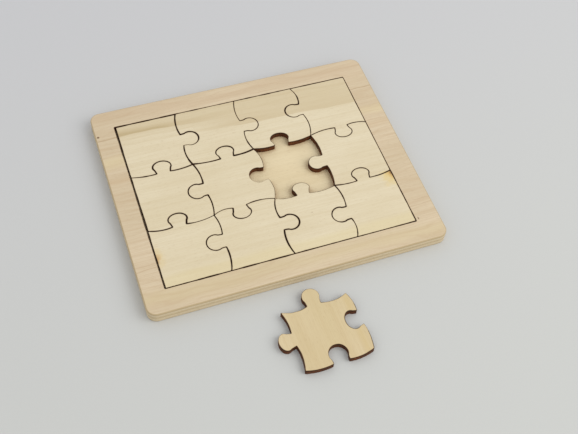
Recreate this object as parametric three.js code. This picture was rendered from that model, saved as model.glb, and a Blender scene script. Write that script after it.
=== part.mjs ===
// A wooden tray puzzle. A shallow plywood tray, made of a rim glued to a base plate, holds
// interlocking pieces, four across and three deep, cut with a laser from one plywood sheet.
// One piece has been taken out of its pocket and lies in front of the tray with its face down.
// Units are millimetres. The origin is the centre of the tray's underside, +X runs along the
// long side, +Y points away from the loose piece, and +Z is up.
import * as THREE from 'three';

// Plywood
const BASE_THICKNESS = 3;
const SHEET_THICKNESS = 3; // the rim and the pieces come from the same sheet
const KERF = 0.3; // width of wood that the laser burns away along every cut

// Window in the rim, measured along the middle of the cut
const WINDOW_LENGTH = 120;
const WINDOW_WIDTH = 95;

// Rim around the window: the tray's outline isn't quite centred on the window
const RIM_LEFT = 10.5;
const RIM_RIGHT = 12;
const RIM_FRONT = 11.5;
const RIM_BACK = 11;
const TRAY_CORNER_RADIUS = 4.5;

// The cutting pattern
const COLUMNS = 4;
const ROWS = 3;
const ROW_NAMES = ['back', 'middle', 'front'];
const LOOSE_ROW = 1;
const LOOSE_COLUMN = 2;

// A knob has an oval head on a straight neck. neck is its width at the root, dip is how far the
// root is set back behind the cut's chord, reach is the head's top above the chord, and halfWidth
// and halfHeight are the oval's.
const SIDEWAYS_KNOB = { neck: 7, dip: 1, reach: 7.25, halfWidth: 4.2, halfHeight: 4.2 };
const UPRIGHT_KNOB = { neck: 6.5, dip: 1, reach: 5.9, halfWidth: 4.4, halfHeight: 3.2 };
const HEAD_TUCK = THREE.MathUtils.degToRad(30); // how far the head closes in below its middle
const CURVE_STEPS = 7; // straight steps along a shoulder, and along each half of a head

// The corners where cuts meet, as small shifts from an even grid, [x, y], from the back row on.
// The pattern was drawn freehand, and a quarter of a millimetre is as fine as it goes.
const CORNER_SHIFTS = [
  [[0, 0], [0, 0], [0.5, 0], [0.5, 0], [0, 0]],
  [[0, -0.5], [-0.25, -1], [0.5, -0.5], [0.25, -0.5], [0, 0]],
  [[0, -0.5], [1, -0.75], [1, 0], [0.5, -1], [0, -0.25]],
  [[0, 0], [0, 0], [-0.25, 0], [0.25, 0], [0, 0]],
];

// Each cut, [side, slide, sag]. Along a row the side is 1 for a knob towards the back, and slide
// moves it to the right. Down a column the side is 1 for a knob towards the right, and slide
// moves it to the front. sag is how far the shoulders beside the knob bow away from its head.
const ROW_CUTS = [
  [[1, 0.5, 0.5], [1, 1.5, 0.5], [1, -0.5, 0.75], [-1, 1.75, 0.75]],
  [[1, -1, 0.75], [-1, -2.25, 1], [1, -1.25, 0.75], [1, 0, 0.5]],
];
const COLUMN_CUTS = [
  [[1, 0.5, 1], [-1, 0.25, 0.75], [-1, -0.75, 0.75]],
  [[1, 0.75, 1], [-1, 0, 1.25], [1, -1.25, 1]],
  [[-1, -1.5, 1.25], [-1, 0.5, 0.75], [-1, 1.5, 1]],
];

// Where the loose piece lies: the middle of its four corners, and its turn after being flipped
const LOOSE_CENTRE = new THREE.Vector2(-0.3, -86.5);
const LOOSE_TURN = THREE.MathUtils.degToRad(-88);

// Tray outline, with the origin at its centre
const TRAY_LENGTH = RIM_LEFT + WINDOW_LENGTH + RIM_RIGHT;
const TRAY_WIDTH = RIM_FRONT + WINDOW_WIDTH + RIM_BACK;
const WINDOW_X = RIM_LEFT - TRAY_LENGTH / 2;
const WINDOW_Y = RIM_FRONT - TRAY_WIDTH / 2;

const timber = {
  rim: new THREE.MeshStandardMaterial({ color: 0xd9c0a0, roughness: 0.62, metalness: 0 }),
  base: new THREE.MeshStandardMaterial({ color: 0xd8c294, roughness: 0.66, metalness: 0 }),
  piece: new THREE.MeshStandardMaterial({ color: 0xe4d6b4, roughness: 0.6, metalness: 0 }),
};

// Corner where four pieces meet, or where a cut meets the window's edge
function latticeCorner(row, column) {
  const [shiftX, shiftY] = CORNER_SHIFTS[row][column];
  const x = WINDOW_X + (WINDOW_LENGTH * column) / COLUMNS + shiftX;
  const y = WINDOW_Y + WINDOW_WIDTH * (1 - row / ROWS) + shiftY;
  return new THREE.Vector2(x, y);
}

// One knobbed cut along its own chord, from (0, 0) to (length, 0), with the knob towards +Y
function knobProfile(length, slide, sag, knob) {
  const middle = length / 2 + slide;
  const near = middle - knob.neck / 2;
  const far = middle + knob.neck / 2;
  const headMiddle = knob.reach - knob.halfHeight;
  const bow = -knob.dip / 2 - 2 * sag;
  const profile = new THREE.Path();
  profile.moveTo(0, 0);
  profile.quadraticCurveTo(near / 2, bow, near, -knob.dip);
  const [start, end] = [Math.PI + HEAD_TUCK, -HEAD_TUCK];
  profile.absellipse(middle, headMiddle, knob.halfWidth, knob.halfHeight, start, end, true);
  profile.lineTo(far, -knob.dip);
  profile.quadraticCurveTo((far + length) / 2, bow, length, 0);
  return profile.getPoints(CURVE_STEPS);
}

// The same cut laid between two corners; side 1 puts the knob on the left of the way along it
function cutBetween(start, end, [side, slide, sag], knob) {
  const along = end.clone().sub(start);
  const length = along.length();
  along.normalize();
  const across = new THREE.Vector2(-along.y, along.x).multiplyScalar(side);
  const place = (point) => start.clone().addScaledVector(along, point.x).addScaledVector(across, point.y);
  return knobProfile(length, slide, sag, knob).map(place);
}

// The front or back edge of a piece, from left to right
function rowEdge(row, column) {
  const start = latticeCorner(row, column);
  const end = latticeCorner(row, column + 1);
  if (row === 0 || row === ROWS) return [start, end];
  return cutBetween(start, end, ROW_CUTS[row - 1][column], UPRIGHT_KNOB);
}

// The left or right edge of a piece, from back to front
function columnEdge(row, column) {
  const start = latticeCorner(row, column);
  const end = latticeCorner(row + 1, column);
  if (column === 0 || column === COLUMNS) return [start, end];
  return cutBetween(start, end, COLUMN_CUTS[column - 1][row], SIDEWAYS_KNOB);
}

// Middle of the cuts around one piece, anticlockwise, with each corner given once
function cutLoop(row, column) {
  const edges = [
    rowEdge(row + 1, column),
    columnEdge(row, column + 1).reverse(),
    rowEdge(row, column).reverse(),
    columnEdge(row, column),
  ];
  return edges.flatMap((edge) => edge.slice(0, -1));
}

// Left-hand normal of the line from one point to the next
function leftNormal(from, to) {
  return new THREE.Vector2(from.y - to.y, to.x - from.x).normalize();
}

// An anticlockwise loop moved inwards by a distance, with mitred corners
function inset(loop, distance) {
  return loop.map((point, index) => {
    const before = leftNormal(loop.at(index - 1), point);
    const after = leftNormal(point, loop[(index + 1) % loop.length]);
    const reach = distance / (1 + before.dot(after));
    return point.clone().addScaledVector(before.add(after), reach);
  });
}

function plate(shape, thickness) {
  return new THREE.ExtrudeGeometry(shape, { depth: thickness, bevelEnabled: false, curveSegments: 10 });
}

function trayOutline() {
  const right = TRAY_LENGTH / 2 - TRAY_CORNER_RADIUS;
  const back = TRAY_WIDTH / 2 - TRAY_CORNER_RADIUS;
  const quarter = Math.PI / 2;
  const outline = new THREE.Shape();
  outline.absarc(right, -back, TRAY_CORNER_RADIUS, -quarter, 0, false);
  outline.absarc(right, back, TRAY_CORNER_RADIUS, 0, quarter, false);
  outline.absarc(-right, back, TRAY_CORNER_RADIUS, quarter, 2 * quarter, false);
  outline.absarc(-right, -back, TRAY_CORNER_RADIUS, 2 * quarter, 3 * quarter, false);
  return outline;
}

function windowLoop() {
  const corners = [[ROWS, 0], [ROWS, COLUMNS], [0, COLUMNS], [0, 0]];
  const loop = corners.map(([row, column]) => latticeCorner(row, column));
  return inset(loop, -KERF / 2);
}

function makeBase() {
  const base = new THREE.Mesh(plate(trayOutline(), BASE_THICKNESS), timber.base);
  base.name = 'tray_base';
  return base;
}

function makeRim() {
  const outline = trayOutline();
  outline.holes.push(new THREE.Path(windowLoop()));
  const rim = new THREE.Mesh(plate(outline, SHEET_THICKNESS), timber.rim);
  rim.name = 'tray_rim';
  rim.position.z = BASE_THICKNESS;
  return rim;
}

function makeSeatedPiece(row, column) {
  const shape = new THREE.Shape(inset(cutLoop(row, column), KERF / 2));
  const piece = new THREE.Mesh(plate(shape, SHEET_THICKNESS), timber.piece);
  piece.name = `piece_${ROW_NAMES[row]}_${column + 1}`;
  piece.position.z = BASE_THICKNESS;
  return piece;
}

// The piece from the open pocket, turned over about its own centre and laid on the table
function makeLoosePiece() {
  const [row, column] = [LOOSE_ROW, LOOSE_COLUMN];
  const centre = new THREE.Vector2();
  for (const [down, across] of [[0, 0], [0, 1], [1, 0], [1, 1]]) {
    centre.addScaledVector(latticeCorner(row + down, column + across), 1 / 4);
  }
  const loop = inset(cutLoop(row, column), KERF / 2).map((point) => point.sub(centre));
  const piece = new THREE.Mesh(plate(new THREE.Shape(loop), SHEET_THICKNESS), timber.piece);
  piece.name = 'loose_piece';
  piece.rotation.x = Math.PI;
  piece.position.z = SHEET_THICKNESS;
  const place = new THREE.Group();
  place.rotation.z = LOOSE_TURN;
  place.position.set(LOOSE_CENTRE.x, LOOSE_CENTRE.y, 0);
  place.add(piece);
  return place;
}

const puzzle = new THREE.Group();
puzzle.add(makeBase(), makeRim(), makeLoosePiece());
for (let row = 0; row < ROWS; row += 1) {
  for (let column = 0; column < COLUMNS; column += 1) {
    if (row === LOOSE_ROW && column === LOOSE_COLUMN) continue;
    puzzle.add(makeSeatedPiece(row, column));
  }
}

export default puzzle;
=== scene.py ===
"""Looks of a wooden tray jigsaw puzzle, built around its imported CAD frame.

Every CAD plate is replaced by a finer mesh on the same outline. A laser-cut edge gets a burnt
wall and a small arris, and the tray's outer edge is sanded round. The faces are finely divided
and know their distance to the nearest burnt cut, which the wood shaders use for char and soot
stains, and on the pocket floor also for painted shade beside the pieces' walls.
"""
import math

import bmesh
import bpy
import numpy as np
from mathutils import Matrix, Vector, geometry, kdtree, noise


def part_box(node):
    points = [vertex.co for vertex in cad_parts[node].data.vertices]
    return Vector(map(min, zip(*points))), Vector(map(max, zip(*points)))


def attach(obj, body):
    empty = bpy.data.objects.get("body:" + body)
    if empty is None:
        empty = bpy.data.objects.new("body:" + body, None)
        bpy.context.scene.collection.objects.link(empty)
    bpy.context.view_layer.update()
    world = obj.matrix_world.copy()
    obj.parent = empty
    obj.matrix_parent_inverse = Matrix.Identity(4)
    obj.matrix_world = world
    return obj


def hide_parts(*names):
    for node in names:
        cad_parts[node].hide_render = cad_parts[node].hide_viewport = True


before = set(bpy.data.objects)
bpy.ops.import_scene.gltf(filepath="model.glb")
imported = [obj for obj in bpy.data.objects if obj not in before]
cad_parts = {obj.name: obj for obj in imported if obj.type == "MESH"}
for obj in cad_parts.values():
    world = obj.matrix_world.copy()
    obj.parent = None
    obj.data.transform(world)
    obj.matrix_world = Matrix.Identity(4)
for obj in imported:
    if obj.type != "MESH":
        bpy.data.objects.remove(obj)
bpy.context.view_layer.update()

MM = 0.001  # metres; shapes and patterns are worked out in millimetres
SHEET = 3.0  # thickness of one sheet of plywood
WELD = 1e-6  # metres; points of a CAD plate that are closer than this are one

# Outlines
CORNER_TURN = math.radians(55)  # an outline that turns more than this at a point has a corner
CURVE_STEP = 0.4  # longest step along a round stretch
STRAIGHT_STEP = 1.5  # longest step between two corners
KERF_WANDER = 0.04  # how far a laser cut strays from its line
KERF_WAVELENGTH = 7.0  # over about this length
CORNER_EASE = 0.35  # how far from a sharp corner the cut starts to round it
MOST_EASE = 0.9  # but at most this share of the way to the next point
LOOSE_CUT_SEED = 20
WINDOW_CUT_SEED = 30

# Edge profiles from the flat face to the wall: (distance in from the wall, drop below the face)
# The last point of each is already on the wall, so that the wall's shading stays flat.
LASER_EDGE = [(0.10, 0.0), (0.04, 0.02), (0.0, 0.07), (0.0, 0.2)]
GLUED_EDGE = [(0.08, 0.0), (0.0, 0.06), (0.0, 0.2)]
SANDED_RADIUS = 0.45
SANDED_TURNS = [math.radians(a) for a in (0, 15, 30, 45, 60, 75, 90)]
SANDED_EDGE = [
    (SANDED_RADIUS * (1 - math.sin(turn)), SANDED_RADIUS * (1 - math.cos(turn)))
    for turn in SANDED_TURNS
] + [(0.0, SANDED_RADIUS + 0.15)]

# Faces
NEAR_ROWS = [0.25, 0.5, 0.9, 1.6]  # rows of points beside an edge, by distance from it
ROW_CLEARANCE = 0.93  # a row's points stay this share of that distance from every edge
GRID_STEP = 2.4
GRID_CLEARANCE = NEAR_ROWS[-1] + GRID_STEP / 3
FILL_TOLERANCE = 1e-7  # points of a face that are closer than this are one
EDGE_REACH = 4.0  # the distance to a burnt edge is only followed up to here

# Which of its plate's materials a face takes
FACE, BACK, WALL, OUTER = range(4)

WINDOW_SLACK = 0.25  # how much further out the window's left edge stands than in the CAD

# How far each piece has settled in the play that the kerf leaves: (right, back)
SETTLED = {
    "piece_back_1": (0.10, -0.14),
    "piece_back_2": (0.20, 0.08),
    "piece_back_3": (0.10, 0.03),
    "piece_back_4": (0.07, -0.07),
    "piece_middle_1": (0.16, -0.06),
    "piece_middle_2": (0.24, -0.10),
    "piece_middle_4": (0.05, -0.09),
    "piece_front_1": (0.06, 0.02),
    "piece_front_2": (0.12, 0.0),
    "piece_front_3": (0.20, 0.02),
    "piece_front_4": (0.12, -0.02),
}

# Wood
LOOSE_TURN = math.radians(-88)  # how the loose piece's grain has turned from its seat's
PIECE_SLANT = 0.048  # drop of the pieces' streaks to the front, per millimetre to the right
RIM_SLANT = 0.021  # and of the rim's
FRONT_ROW_TOP = 31.2  # the cut behind the front row's right end, from the window's front edge
SEED_STEP = (17, 31)  # how far a seed of 1 moves a sheet's patterns

# How fast the wood's patterns change, for a millimetre along the grain, across it and up
FIBRES = (0.05, 2.2, 1.0)
STREAKS = (0.012, 0.42, 1.0)
CLOUDS = (0.015, 0.05, 1.0)
PORES = (0.4, 4.0, 1.0)

# The photograph's view, in metres and radians
VIEW_TARGET = Vector((0.012, -0.026, 0.0))
VIEW_DISTANCE = 0.4243
VIEW_AZIMUTH = math.radians(25.64)  # the camera looks this far to the right of +Y
VIEW_ELEVATION = math.radians(55.24)  # and this far down
VIEW_ROLL = math.radians(6.94)
LENS = 55.99
SHIFT_X = -0.0277
CLIP_START = 0.01

# Light and floor, in metres and watts
KEY_DIRECTION = (0.60, -0.40, 0.70)
KEY_DISTANCE = 1.4
KEY_SIZE = 1.1
KEY_POWER = 8.6
KEY_COLOUR = (1.0, 0.99, 0.975)
SKY_COLOUR = (0.985, 0.99, 1.0)
SKY_STRENGTH = 0.785
FLOOR_REACH = 3.0
FLOOR_HEIGHT = -0.00005  # just clear of the tray's underside


def srgb(red, green, blue):
    """Linear colour of an 8-bit sRGB one."""
    channels = [value / 255 for value in (red, green, blue)]
    return tuple(c / 12.92 if c <= 0.04045 else ((c + 0.055) / 1.055) ** 2.4 for c in channels)


# ---------------------------------------------------------------- outlines


def face_loops(node):
    """Loops round a CAD plate's top face, longest first, each with the wood on its left."""
    plate = bmesh.new()
    plate.from_mesh(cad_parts[node].data)
    bmesh.ops.remove_doubles(plate, verts=plate.verts, dist=WELD)
    top = max(vertex.co.z for vertex in plate.verts)
    cap = {f for f in plate.faces if all(abs(v.co.z - top) < WELD for v in f.verts)}
    following = {}
    for face in cap:
        for corner in face.loops:
            if any(other not in cap for other in corner.edge.link_faces):
                following[corner.vert] = corner.link_loop_next.vert
    loops = []
    while following:
        start = next(iter(following))
        loop = [start]
        here = following.pop(start)
        while here is not start:
            loop.append(here)
            here = following.pop(here)
        loops.append(np.array([(v.co.x / MM, v.co.y / MM) for v in loop]))
    plate.free()
    return sorted(loops, key=lambda loop: -np.ptp(loop[:, 0]))


def corners(loop):
    """Which points of the loop are sharp corners."""
    before = loop - np.roll(loop, 1, axis=0)
    after = np.roll(loop, -1, axis=0) - loop
    cross = before[:, 0] * after[:, 1] - before[:, 1] * after[:, 0]
    return np.abs(np.arctan2(cross, (before * after).sum(1))) > CORNER_TURN


def curve(p0, p1, p2, p3, t):
    """Catmull-Rom curve from p1 to p2."""
    bend = 2 * p0 - 5 * p1 + 4 * p2 - p3
    twist = 3 * p1 - p0 - 3 * p2 + p3
    return 0.5 * (2 * p1 + (p2 - p0) * t + bend * t**2 + twist * t**3)


def eased(loop, sharp):
    """The loop with each sharp corner rounded a little."""
    points = []
    for i, point in enumerate(loop):
        if not sharp[i]:
            points.append(point)
            continue
        before, after = loop[i - 1] - point, loop[(i + 1) % len(loop)] - point
        start = point + before * min(MOST_EASE, CORNER_EASE / np.linalg.norm(before))
        end = point + after * min(MOST_EASE, CORNER_EASE / np.linalg.norm(after))
        points += [start, 0.25 * start + 0.5 * point + 0.25 * end, end]
    return np.array(points)


def refined(loop):
    """The loop with its round stretches made truly round and its corners only just eased."""
    sharp = corners(loop)
    count = len(loop)
    fine, corner = [], []
    for i in range(count):
        j = (i + 1) % count
        start, end = loop[i], loop[j]
        before = 2 * start - end if sharp[i] else loop[i - 1]
        after = 2 * end - start if sharp[j] else loop[(j + 1) % count]
        step = STRAIGHT_STEP if sharp[i] and sharp[j] else CURVE_STEP
        parts = max(1, math.ceil(np.linalg.norm(end - start) / step))
        fine += [curve(before, start, end, after, k / parts) for k in range(parts)]
        corner += [sharp[i]] + [False] * (parts - 1)
    return eased(np.array(fine), corner)


def inset(loop, distance):
    """The loop moved into the wood with mitred corners, by one distance or by one a point."""
    after = np.roll(loop, -1, axis=0) - loop
    normal = np.stack([-after[:, 1], after[:, 0]], 1) / np.linalg.norm(after, axis=1)[:, None]
    before = np.roll(normal, 1, axis=0)
    reach = np.asarray(distance) / (1 + (before * normal).sum(1))
    return loop + (before + normal) * reach[:, None]


def wandering(loop, seed):
    """The loop with the slight unevenness of a laser cut."""
    places = [Vector((*(point / KERF_WAVELENGTH), seed)) for point in loop]
    return inset(loop, np.array([KERF_WANDER * noise.noise(place) for place in places]))


def distance_to(points, loops):
    """Distance from each point to the nearest loop."""
    nearest = np.full(len(points), EDGE_REACH)
    if not loops or not len(points):
        return nearest
    starts = np.concatenate(loops)
    ends = np.concatenate([np.roll(loop, -1, axis=0) for loop in loops])
    before = np.concatenate([np.roll(loop, 1, axis=0) for loop in loops])
    tree = kdtree.KDTree(len(starts))
    for number, (x, y) in enumerate(starts):
        tree.insert((x, y, 0), number)
    tree.balance()
    found = np.array([tree.find((x, y, 0))[1] for x, y in points])
    for one, other in ((starts[found], ends[found]), (before[found], starts[found])):
        along = other - one
        offset = points - one
        share = np.clip((offset * along).sum(1) / (along**2).sum(1), 0, 1)
        gap = np.linalg.norm(offset - share[:, None] * along, axis=1)
        nearest = np.minimum(nearest, gap)
    return nearest


def inside(points, loops):
    """Which points lie within the first loop and outside the others."""
    within = np.zeros(len(points), bool)
    x, y = points[:, :1], points[:, 1:]
    for loop in loops:
        start, end = loop, np.roll(loop, -1, axis=0)
        spans = (start[:, 1] > y) != (end[:, 1] > y)
        rise = np.where(end[:, 1] == start[:, 1], 1, end[:, 1] - start[:, 1])
        crossing = start[:, 0] + (y - start[:, 1]) * (end[:, 0] - start[:, 0]) / rise
        within ^= (spans & (x < crossing)).sum(1) % 2 == 1
    return within


# ---------------------------------------------------------------- plates


def filling_points(edges, marks):
    """Points that fill a face: rows beside its edges and marks, and an even grid between."""
    kept = []
    for lines, side, every in ((edges, 1, 1), (marks, 1, 2), (marks, -1, 2)):
        for line in lines:
            for number, depth in enumerate(NEAR_ROWS[::every]):
                row = inset(line, side * depth)[:: number + 1]  # sparser further from the line
                clear = distance_to(row, edges + marks) > ROW_CLEARANCE * depth
                kept.append(row[clear & inside(row, edges)])
    kept += [mark[::2] for mark in marks]
    low, high = edges[0].min(0), edges[0].max(0)
    columns = np.arange(low[0], high[0], GRID_STEP)
    rows = np.arange(low[1], high[1], GRID_STEP)
    grid = [(x + (k % 2) * GRID_STEP / 2, y) for k, y in enumerate(rows) for x in columns]
    grid = np.array(grid)
    clear = distance_to(grid, edges + marks) > GRID_CLEARANCE
    kept.append(grid[clear & inside(grid, edges)])
    return np.concatenate(kept)


def filled(edges, marks):
    """Points and triangles of a flat face within edges; the edges' own points come first."""
    points = np.concatenate(edges + [filling_points(edges, marks)])
    sides, first = [], 0
    for edge in edges:
        count = len(edge)
        sides += [(first + k, first + (k + 1) % count) for k in range(count)]
        first += count
    inside_only = 1
    places = [Vector(point) for point in points]
    made = geometry.delaunay_2d_cdt(places, sides, [], inside_only, FILL_TOLERANCE)
    source = [origins[0] for origins in made[3]]
    triangles = np.array([[source[i] for i in face] for face in made[2]])
    triangles = triangles[inside(points[triangles].mean(1), edges)]
    return points, triangles.tolist()


class Edge:
    """One loop round a plate, its profile at the upper and lower face, and its material."""

    def __init__(self, loop, upper, lower, place):
        self.loop, self.upper, self.lower, self.place = loop, upper, lower, place

    def rings(self, profile):
        return [inset(self.loop, depth) for depth, _ in profile]


class Plate:
    """A closed flat plate between two heights; marks are cuts that left soot on its top, and
    beside whose walls painted shade goes too.
    """

    def __init__(self, low, high, edges, marks=()):
        self.vertices, self.faces, self.places, self.distances = [], [], [], []
        marks = list(marks)
        self.burnt = [edge.loop for edge in edges if edge.place == WALL] + marks
        upper = self.add_face([edge.rings(edge.upper)[0] for edge in edges], marks, high, FACE)
        lower = self.add_face([edge.rings(edge.lower)[0] for edge in edges], [], low, BACK)
        for edge in edges:
            self.add_wall(edge, low, high, upper, lower)
            upper += len(edge.loop)
            lower += len(edge.loop)

    def add_points(self, points, height):
        """Adds points at one height and gives the number of the first."""
        first = len(self.vertices)
        self.vertices += [(x * MM, y * MM, height * MM) for x, y in points]
        self.distances += list(distance_to(points, self.burnt))
        return first

    def add_face(self, edges, marks, height, place):
        """Adds the upper or the lower face and gives the number of its first point."""
        points, triangles = filled(edges, marks)
        first = self.add_points(points, height)
        for triangle in triangles:
            a, b, c = points[triangle]
            upward = (b[0] - a[0]) * (c[1] - a[1]) > (b[1] - a[1]) * (c[0] - a[0])
            ordered = triangle if upward == (place == FACE) else triangle[::-1]
            self.faces.append([first + i for i in ordered])
            self.places.append(place)
        return first

    def add_wall(self, edge, low, high, upper, lower):
        """Joins the upper face's edge to the lower face's, down both profiles."""
        steps = list(zip(edge.rings(edge.upper), edge.upper))[1:]
        stack = [upper] + [self.add_points(ring, high - drop) for ring, (_, drop) in steps]
        steps = list(zip(edge.rings(edge.lower), edge.lower))[:0:-1]
        stack += [self.add_points(ring, low + drop) for ring, (_, drop) in steps] + [lower]
        count = len(edge.loop)
        for above, below in zip(stack, stack[1:]):
            for k in range(count):
                j = (k + 1) % count
                self.faces.append([below + k, below + j, above + j, above + k])
                self.places.append(edge.place)

    def to_object(self, name, materials):
        mesh = bpy.data.meshes.new(name)
        mesh.from_pydata(self.vertices, [], self.faces)
        mesh.polygons.foreach_set("material_index", self.places)
        smooth = [place in (WALL, OUTER) for place in self.places]
        mesh.polygons.foreach_set("use_smooth", smooth)
        distance = mesh.attributes.new("edge_distance", "FLOAT", "POINT")
        distance.data.foreach_set("value", np.array(self.distances, np.float32))
        for material in materials:
            mesh.materials.append(material)
        mesh.update()
        piece = bpy.data.objects.new(name, mesh)
        bpy.context.scene.collection.objects.link(piece)
        return piece


# ---------------------------------------------------------------- shaders


class Shader:
    """A material's node tree, with short ways to add what wood needs."""

    def __init__(self, name, roughness, specular=0.3):
        self.material = bpy.data.materials.new(name)
        self.material.use_nodes = True
        self.tree = self.material.node_tree
        self.surface = self.tree.nodes["Principled BSDF"]
        self.surface.inputs["Roughness"].default_value = roughness
        self.surface.inputs["Specular IOR Level"].default_value = specular
        metres = self.node("ShaderNodeTexCoord").outputs["Object"]
        self.place = self.moved(metres, (1 / MM, 1 / MM, 1 / MM))
        self.x, self.y, self.z = self.axes(self.place)
        distance = self.node("ShaderNodeAttribute", attribute_name="edge_distance")
        self.edge = distance.outputs["Fac"]

    def node(self, kind, **settings):
        made = self.tree.nodes.new(kind)
        for key, value in settings.items():
            setattr(made, key, value)
        return made

    def feed(self, socket, value):
        """Sets a socket to a number or a colour, or links another socket to it."""
        if isinstance(value, bpy.types.NodeSocket):
            self.tree.links.new(value, socket)
        elif isinstance(value, tuple) and len(value) < len(socket.default_value):
            socket.default_value = (*value, 1.0)
        elif value is not None:
            socket.default_value = value

    def moved(self, vector, scale=(1, 1, 1), turn=0.0):
        made = self.node("ShaderNodeMapping")
        self.feed(made.inputs["Vector"], vector)
        made.inputs["Rotation"].default_value = (0, 0, turn)
        made.inputs["Scale"].default_value = scale
        return made.outputs["Vector"]

    def noise(self, vector, scale=1.0, detail=3.0, roughness=0.55):
        made = self.node("ShaderNodeTexNoise")
        self.feed(made.inputs["Vector"], vector)
        made.inputs["Scale"].default_value = scale
        made.inputs["Detail"].default_value = detail
        made.inputs["Roughness"].default_value = roughness
        return made.outputs["Fac"]

    def maths(self, operation, *values):
        made = self.node("ShaderNodeMath", operation=operation)
        for socket, value in zip(made.inputs, values):
            self.feed(socket, value)
        return made.outputs[0]

    def add(self, *values):
        total = values[0]
        for value in values[1:]:
            total = self.maths("ADD", total, value)
        return total

    def times(self, a, b):
        return self.maths("MULTIPLY", a, b)

    def axes(self, vector):
        made = self.node("ShaderNodeSeparateXYZ")
        self.feed(made.inputs[0], vector)
        return made.outputs[0], made.outputs[1], made.outputs[2]

    def rise(self, value, start, end, low=0.0, high=1.0, kind="SMOOTHSTEP"):
        """Goes from low to high as value goes from start to end."""
        made = self.node("ShaderNodeMapRange", interpolation_type=kind)
        for socket, given in zip(made.inputs, (value, start, end, low, high)):
            self.feed(socket, given)
        return made.outputs[0]

    def line(self, value, middle, reach):
        """1 where value is at the middle, falling to 0 at reach from it."""
        return self.rise(self.maths("ABSOLUTE", self.add(value, -middle)), reach, 0.0)

    def mix(self, share, a, b):
        """Colour a where share is 0 and colour b where it is 1."""
        made = self.node("ShaderNodeMix", data_type="RGBA")
        for number, value in ((0, share), (6, a), (7, b)):  # 6, 7 and output 2 are colours
            self.feed(made.inputs[number], value)
        return made.outputs[2]

    def ramp(self, value, stops):
        """Follows a list of (value, level)."""
        first, last = stops[0][0], stops[-1][0]
        made = self.node("ShaderNodeValToRGB")
        self.feed(made.inputs[0], self.rise(value, first, last, kind="LINEAR"))
        elements = made.color_ramp.elements
        for number, (place, level) in enumerate(stops):
            place = (place - first) / (last - first)
            has_stop = number < 2  # a new ramp comes with two
            stop = elements[number] if has_stop else elements.new(place)
            stop.position = place
            stop.color = (level, level, level, 1.0)
        return made.outputs[0]

    def bump(self, height, strength, depth):
        made = self.node("ShaderNodeBump")
        made.inputs["Strength"].default_value = strength
        made.inputs["Distance"].default_value = depth * MM
        self.feed(made.inputs["Height"], height)
        return made.outputs[0]

    def finish(self, colour, roughness=None, normal=None):
        self.feed(self.surface.inputs["Base Color"], colour)
        self.feed(self.surface.inputs["Roughness"], roughness)
        self.feed(self.surface.inputs["Normal"], normal)
        return self.material


CHAR = srgb(44, 23, 8)
SMOKE_STAIN_AND_SHADE = srgb(172, 132, 80)
PORE = srgb(168, 138, 100)


class Wood(Shader):
    """Plywood's face veneer: long fibres, soft streaks, wide clouds and short pores."""

    def __init__(self, name, turn=0.0, seed=0.0):
        super().__init__(name, roughness=0.6)
        self.grain = self.moved(self.place, turn=-turn)
        shift = (SEED_STEP[0] * seed, SEED_STEP[1] * seed, 0)
        self.grain.node.inputs["Location"].default_value = shift
        self.fibres = self.noise(self.moved(self.grain, FIBRES), detail=4.0, roughness=0.6)
        self.streaks = self.noise(self.moved(self.grain, STREAKS), detail=3.0)
        self.clouds = self.noise(self.moved(self.grain, CLOUDS), detail=2.0)
        pores = self.noise(self.moved(self.grain, PORES), detail=1.0)
        self.pores = self.rise(pores, 0.60, 0.72)

    def veneer(self, light, dark, streak, strength):
        """Goes from light to dark in clouds, and towards streak in streaks and fibres."""
        streaky = self.times(self.rise(self.streaks, 0.42, 0.70), strength)
        fibrous = self.times(self.rise(self.fibres, 0.40, 0.68), strength)
        colour = self.mix(self.rise(self.clouds, 0.35, 0.65), light, dark)
        colour = self.mix(streaky, colour, streak)
        colour = self.mix(fibrous, colour, streak)
        return self.mix(self.times(self.pores, 0.22), colour, PORE)

    def spot(self, centre, size, edge=0.9):
        """1 in an uneven oval, falling to 0 outside it; centre and size in millimetres."""
        wobble = self.rise(self.noise(self.place, scale=0.45), 0.2, 0.8, -0.45, 0.45)
        across = self.times(self.add(self.x, -centre[0]), 1 / size[0])
        along = self.times(self.add(self.y, -centre[1]), 1 / size[1])
        squares = self.add(self.times(across, across), self.times(along, along))
        away = self.add(self.maths("SQRT", squares), wobble)
        return self.rise(away, 1.0 + edge / 2, 1.0 - edge / 2)

    def charred(self, colour, width=0.13, fringe_share=0.30, soot_and_shade=0.0):
        """Darkens the face towards its burnt cuts: char beside them, then a fringe of soot
        stain, and where asked a wider fringe of soot and painted shade.
        """
        uneven = self.noise(self.place, scale=0.09, detail=3.0)
        reach = self.rise(uneven, 0.38, 0.62, 0.3 * width, 2.3 * width)
        fringe = self.rise(uneven, 0.3, 0.7, 0.35, 0.8)
        stain_and_shade = self.times(self.rise(self.edge, fringe, 0.0), fringe_share)
        if soot_and_shade:
            # a wider fringe, partly soot and partly painted shade where the walls beside the
            # cuts shade the face
            wide = self.rise(self.edge, self.rise(uneven, 0.3, 0.7, 1.0, 3.2), 0.0)
            stain_and_shade = self.maths("MAXIMUM", stain_and_shade, self.times(wide, soot_and_shade))
        burnt = self.rise(self.edge, self.add(reach, 0.05), self.times(reach, 0.5))
        return self.mix(burnt, self.mix(stain_and_shade, colour, SMOKE_STAIN_AND_SHADE), CHAR)

    def finish_veneer(self, colour):
        """Matt veneer with its fibres and pores standing in relief."""
        roughness = self.rise(self.fibres, 0.3, 0.7, 0.55, 0.70)
        height = self.add(self.fibres, self.times(self.pores, -0.7))
        return self.finish(colour, roughness, self.bump(height, 0.35, 0.06))


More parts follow.
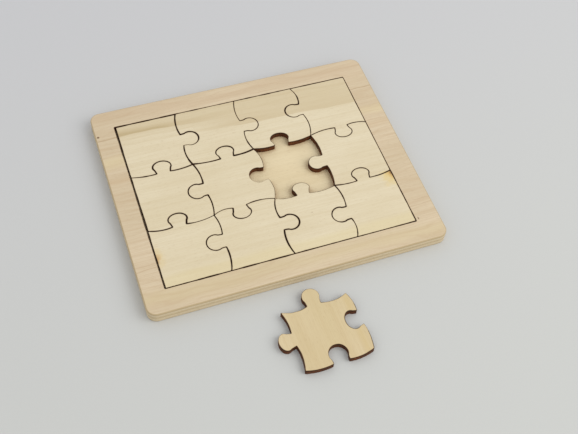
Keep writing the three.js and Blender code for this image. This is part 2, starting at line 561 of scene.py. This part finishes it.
def piece_sheet():
    """Face of the pieces' shared sheet: cream, with tan heartwood along its back edge."""
    s = Wood("piece_face_wood")
    window_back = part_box("piece_back_2")[1].y / MM
    window_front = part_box("piece_front_2")[0].y / MM
    drift = s.rise(s.noise(s.moved(s.place, (0.03, 0.12, 1.0)), detail=2.0), 0, 1, -1.2, 1.2)
    # how far in front of the back edge a point lies, along streaks that slant and drift
    depth = s.add(s.times(s.add(s.y, s.times(s.x, PIECE_SLANT), drift), -1.0), window_back)
    # how strongly the heartwood shows at each depth: at the left end, and from the middle on
    left = s.ramp(depth, [
        (-4, 0.60), (2, 0.55), (5.0, 0.62), (6.2, 0.95), (8.6, 1.0), (9.1, 0.45), (10.4, 0.28),
        (11.6, 0.42), (12.1, 0.12), (13.4, 0.12), (14.8, 0.25), (15.4, 0.05), (19, 0.0),
    ])
    right = s.ramp(depth, [
        (-4, 0.45), (0, 0.52), (1.2, 0.78), (2.2, 0.55), (5, 0.62), (8, 0.58), (10, 0.70),
        (11.2, 0.60), (12.6, 0.72), (15.1, 0.80), (15.7, 0.12), (19, 0.0),
    ])
    heart = s.mix(s.rise(s.x, -30.0, 0.0), left, right)
    colour = s.veneer(srgb(227, 214, 184), srgb(222, 208, 176), srgb(211, 194, 158), 0.35)
    colour = s.mix(heart, colour, s.mix(s.fibres, srgb(214, 197, 162), srgb(198, 178, 139)))
    # a dark streak with a sharp front edge, on the left
    streak = s.times(s.rise(depth, 5.6, 8.2), s.rise(depth, 9.0, 8.5))
    streak = s.times(streak, s.rise(s.x, -28.0, -42.0, 0.0, 0.65))
    colour = s.mix(streak, colour, srgb(186, 165, 122))
    front = s.rise(s.add(s.y, drift), window_front + 7.5, window_front + 3.5, 0.0, 0.45)
    colour = s.mix(front, colour, srgb(222, 206, 160))
    row_top = window_front + FRONT_ROW_TOP
    front_row = s.rise(s.y, row_top + 0.2, row_top - 0.2)  # the scorches stop at the cut
    # a scorch at each end of the front row
    for centre, size, share, tint in (
        ((58.3, -18.3), (3.8, 5.6), 0.60, srgb(228, 197, 110)),
        ((59.2, -17.2), (1.7, 2.6), 0.50, srgb(192, 136, 58)),
        ((59.4, -16.8), (0.9, 1.7), 0.75, srgb(92, 52, 20)),
        ((-60.3, -31.0), (2.2, 4.2), 0.35, srgb(222, 190, 110)),
        ((-60.6, -31.6), (1.1, 1.8), 0.60, srgb(184, 128, 58)),
    ):
        scorch = s.times(s.times(s.spot(centre, size, edge=1.8), share), front_row)
        colour = s.mix(scorch, colour, tint)
    colour = s.mix(s.times(s.spot((14.3, -28.2), (0.35, 0.3)), 0.6), colour, srgb(140, 110, 76))
    return s.finish_veneer(s.charred(colour))


def piece_back(name, turn, seed, stripe=None):
    """Back of the pieces' sheet, warmer than its face; stripe is the x of a yellower band."""
    s = Wood(name, turn, seed)
    colour = s.veneer(srgb(217, 198, 159), srgb(212, 193, 151), srgb(203, 180, 136), 0.32)
    if stripe is not None:
        drift = s.rise(s.clouds, 0, 1, -1.2, 1.2)
        band = s.line(s.add(s.x, drift), stripe, 2.6)
        colour = s.mix(s.times(band, 0.42), colour, srgb(207, 183, 128))
    return s.finish_veneer(s.charred(colour, 0.14, 0.35))


def rim_face():
    """The tray's face: a pinkish veneer with broad bands and a few dark lines of grain."""
    s = Wood("rim_face_wood", seed=2.0)
    drift = s.rise(s.noise(s.moved(s.place, (0.025, 0.06, 1.0)), detail=3.0), 0, 1, -3.0, 3.0)
    along = s.add(s.y, s.times(s.x, RIM_SLANT), drift)
    colour = s.veneer(srgb(219, 201, 171), srgb(212, 194, 163), srgb(200, 176, 142), 0.42)
    # bands and lines of grain, from the back to the front
    for middle, reach, share, tint in (
        (54.0, 5.0, 0.35, srgb(200, 174, 142)),
        (40.2, 0.5, 0.65, srgb(176, 148, 112)),
        (25.0, 5.0, 0.5, srgb(221, 203, 160)),
        (14.5, 3.5, 0.3, srgb(204, 176, 138)),
        (-34.6, 0.35, 0.4, srgb(184, 154, 118)),
        (-37.2, 0.35, 0.4, srgb(184, 154, 118)),
        (-52.0, 6.5, 0.45, srgb(211, 193, 150)),
    ):
        colour = s.mix(s.times(s.line(along, middle, reach), share), colour, tint)
    rings = s.maths("PINGPONG", s.add(along, s.times(s.clouds, 22.0)), 1.6)
    colour = s.mix(s.rise(rings, 0.9, 1.6, 0.0, 0.16), colour, srgb(190, 160, 122))
    for centre, size in (((-69.9, 43.7), (0.45, 0.4)), ((60.9, -46.2), (0.3, 0.8))):
        colour = s.mix(s.times(s.spot(centre, size), 0.85), colour, srgb(96, 62, 34))
    return s.finish_veneer(s.charred(colour))


def base_face(name, seed, with_soot_and_shade):
    """The base plate's veneer, with soot and painted shade beside the pieces' cuts on it if
    asked for.
    """
    s = Wood(name, seed=seed)
    colour = s.veneer(srgb(231, 214, 177), srgb(227, 209, 171), srgb(215, 194, 153), 0.28)
    if with_soot_and_shade:
        # soot and painted shade on the pocket floor beside the pieces' walls, where they shade
        # it
        colour = s.charred(colour, 0.0, 0.4, soot_and_shade=0.32)
    return s.finish_veneer(colour)


def burnt_wall():
    """A laser-cut wall: scored char, darkest towards its top, with faint plies."""
    s = Shader("burnt_wall", roughness=0.75, specular=0.25)
    scoring = s.noise(s.moved(s.place, (2.6, 2.6, 0.22)), detail=3.0, roughness=0.65)
    patches = s.noise(s.place, scale=0.25, detail=2.0)
    height = s.maths("MODULO", s.z, SHEET)
    ply = s.ramp(height, [
        (0.0, 0.10), (0.1, 0.32), (0.4, 0.16), (0.9, 0.10), (1.0, 0.0), (1.1, 0.20),
        (1.9, 0.20), (2.0, 0.0), (2.1, 0.10), (2.6, 0.0), (SHEET, 0.0),
    ])
    below_top = s.rise(height, 2.9, 2.2, 0.3, 1.0)
    scored = s.rise(scoring, 0.35, 0.75, 0.0, 0.5)
    patchy = s.rise(patches, 0.4, 0.7, 0.0, 0.25)
    lightness = s.times(s.add(scored, ply, patchy), below_top)
    colour = s.mix(lightness, srgb(50, 24, 8), srgb(124, 70, 32))
    return s.finish(colour, s.rise(scoring, 0.3, 0.7, 0.62, 0.85), s.bump(scoring, 0.5, 0.08))


def sanded_edge():
    """The tray's sanded outer edge, where the two sheets' plies and their glue line show."""
    s = Shader("sanded_ply_edge", roughness=0.68)
    uneven = s.rise(s.noise(s.moved(s.place, (0.12, 0.12, 0.6)), detail=3.0), 0, 1, -0.18, 0.18)
    height = s.add(s.z, uneven)
    core = s.ramp(height, [
        (0.0, 0.15), (0.9, 0.2), (1.2, 0.9), (2.0, 1.0), (2.5, 0.35), (SHEET, 0.1), (3.6, 0.3),
        (4.1, 0.9), (4.7, 1.0), (5.1, 0.3), (6.0, 0.0),
    ])
    fibres = s.noise(s.moved(s.place, (0.25, 0.25, 4.0)), detail=4.0, roughness=0.6)
    ends = s.noise(s.place, scale=3.0, detail=2.0)
    side = s.mix(s.rise(fibres, 0.35, 0.7), srgb(208, 188, 150), srgb(196, 174, 134))
    inner = s.mix(s.rise(ends, 0.35, 0.7), srgb(222, 206, 175), srgb(210, 191, 157))
    colour = s.mix(core, side, inner)
    top_ply = s.rise(height, 4.9, 5.3, 0.0, 0.75)
    colour = s.mix(top_ply, colour, srgb(184, 163, 126))
    joints = [(SHEET, 0.16, 0.6), (1.0, 0.1, 0.25), (2.0, 0.1, 0.25), (4.0, 0.1, 0.25)]
    for middle, reach, share in joints:
        joint = s.times(s.line(height, middle, reach), share)
        colour = s.mix(joint, colour, srgb(150, 122, 84))
    relief = s.add(s.times(fibres, 0.6), s.times(s.line(height, SHEET, 0.2), -1.0))
    return s.finish(colour, s.rise(fibres, 0.3, 0.7, 0.6, 0.74), s.bump(relief, 0.4, 0.08))


# ---------------------------------------------------------------- the puzzle


def placed(plate, node, body, materials):
    """Makes the plate's object and puts it in the CAD node's place."""
    piece = plate.to_object(f"{node}_look", materials)
    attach(piece, body)
    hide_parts(node)


def heights(node):
    low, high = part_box(node)
    return low.z / MM, high.z / MM


def cut_plate(node, loop):
    """A plate that the laser has cut all the way round."""
    return Plate(*heights(node), [Edge(loop, LASER_EDGE, LASER_EDGE, WALL)])


FACE_WOOD = piece_sheet()
BACK_WOOD = piece_back("piece_back_wood", turn=0.0, seed=5.0)
BURNT = burnt_wall()
SANDED = sanded_edge()

cut_loops = []
for number, node in enumerate(sorted(SETTLED)):
    loop = wandering(refined(face_loops(node)[0]), number) + SETTLED[node]
    cut_loops.append(loop)
    seated = cut_plate(node, loop)
    placed(seated, node, node, [FACE_WOOD, BACK_WOOD, BURNT])

# The loose piece lies face down
loose_loop = wandering(refined(face_loops("loose_piece")[0]), LOOSE_CUT_SEED)
loose = cut_plate("loose_piece", loose_loop)
loose_top = piece_back("loose_piece_back_wood", LOOSE_TURN, seed=3.0, stripe=13.5)
loose_underside = piece_back("loose_piece_face_wood", LOOSE_TURN, seed=4.0)
loose_woods = [loose_top, loose_underside, BURNT]
placed(loose, "loose_piece", "loose_piece", loose_woods)

outline, window = [refined(loop) for loop in face_loops("tray_rim")]
window = wandering(window, WINDOW_CUT_SEED)
window[:, 0] -= np.where(window[:, 0] < 0, WINDOW_SLACK, 0)
rim_outside = Edge(outline, SANDED_EDGE, GLUED_EDGE, OUTER)
rim = Plate(*heights("tray_rim"), [rim_outside, Edge(window, LASER_EDGE, LASER_EDGE, WALL)])
placed(rim, "tray_rim", "tray", [rim_face(), BACK_WOOD, BURNT, SANDED])

base_outside = Edge(outline, GLUED_EDGE, SANDED_EDGE, OUTER)
base = Plate(*heights("tray_base"), [base_outside], cut_loops)
# its top gets soot and painted shade beside the pieces' cuts
base_top = base_face("base_face_wood", seed=6.0, with_soot_and_shade=True)
base_underside = base_face("base_underside_wood", seed=8.0, with_soot_and_shade=False)
placed(base, "tray_base", "tray", [base_top, base_underside, BURNT, SANDED])


# ---------------------------------------------------------------- floor, light and camera


def add_floor():
    """A plain pale floor with the faintest weave."""
    s = Shader("pale_floor", roughness=0.9, specular=0.15)
    tint = s.mix(s.rise(s.y, -150, 200), srgb(203, 204, 200), srgb(203, 203, 205))
    weave = s.noise(s.moved(s.place, (1.4, 1.4, 1.4)), detail=2.0)
    tint = s.mix(s.rise(weave, 0.3, 0.7, 0.0, 0.12), tint, srgb(192, 193, 194))
    material = s.finish(tint, normal=s.bump(weave, 0.15, 0.1))
    mesh = bpy.data.meshes.new("floor")
    signs = [(-1, -1), (1, -1), (1, 1), (-1, 1)]
    floor_corners = [(x * FLOOR_REACH, y * FLOOR_REACH, FLOOR_HEIGHT) for x, y in signs]
    mesh.from_pydata(floor_corners, [], [(0, 1, 2, 3)])
    mesh.materials.append(material)
    floor = bpy.data.objects.new("floor", mesh)
    bpy.context.scene.collection.objects.link(floor)


def add_key_light():
    """A square soft light that faces the puzzle."""
    lamp = bpy.data.lights.new("key", "AREA")
    lamp.size, lamp.energy, lamp.color = KEY_SIZE, KEY_POWER, KEY_COLOUR
    light = bpy.data.objects.new("key", lamp)
    away = Vector(KEY_DIRECTION).normalized()
    light.location = VIEW_TARGET + away * KEY_DISTANCE
    light.rotation_euler = away.to_track_quat("Z", "Y").to_euler()
    bpy.context.scene.collection.objects.link(light)


def add_sky():
    world = bpy.data.worlds.new("studio")
    world.use_nodes = True
    background = world.node_tree.nodes["Background"]
    background.inputs["Color"].default_value = (*SKY_COLOUR, 1.0)
    background.inputs["Strength"].default_value = SKY_STRENGTH
    bpy.context.scene.world = world


def add_camera():
    right = Vector((math.cos(VIEW_AZIMUTH), -math.sin(VIEW_AZIMUTH), 0))
    heading = Vector((math.sin(VIEW_AZIMUTH), math.cos(VIEW_AZIMUTH), 0))
    forward = heading * math.cos(VIEW_ELEVATION) - Vector((0, 0, math.sin(VIEW_ELEVATION)))
    up = right.cross(forward)
    turned_right = right * math.cos(VIEW_ROLL) + up * math.sin(VIEW_ROLL)
    turned_up = up * math.cos(VIEW_ROLL) - right * math.sin(VIEW_ROLL)
    lens = bpy.data.cameras.new("camera")
    lens.lens, lens.shift_x, lens.clip_start = LENS, SHIFT_X, CLIP_START
    camera = bpy.data.objects.new("camera", lens)
    facing = Matrix((turned_right, turned_up, -forward)).transposed().to_4x4()
    camera.matrix_world = Matrix.Translation(VIEW_TARGET - forward * VIEW_DISTANCE) @ facing
    bpy.context.scene.collection.objects.link(camera)
    bpy.context.scene.camera = camera


add_floor()
add_key_light()
add_sky()
add_camera()
bpy.context.scene.view_settings.view_transform = "Standard"
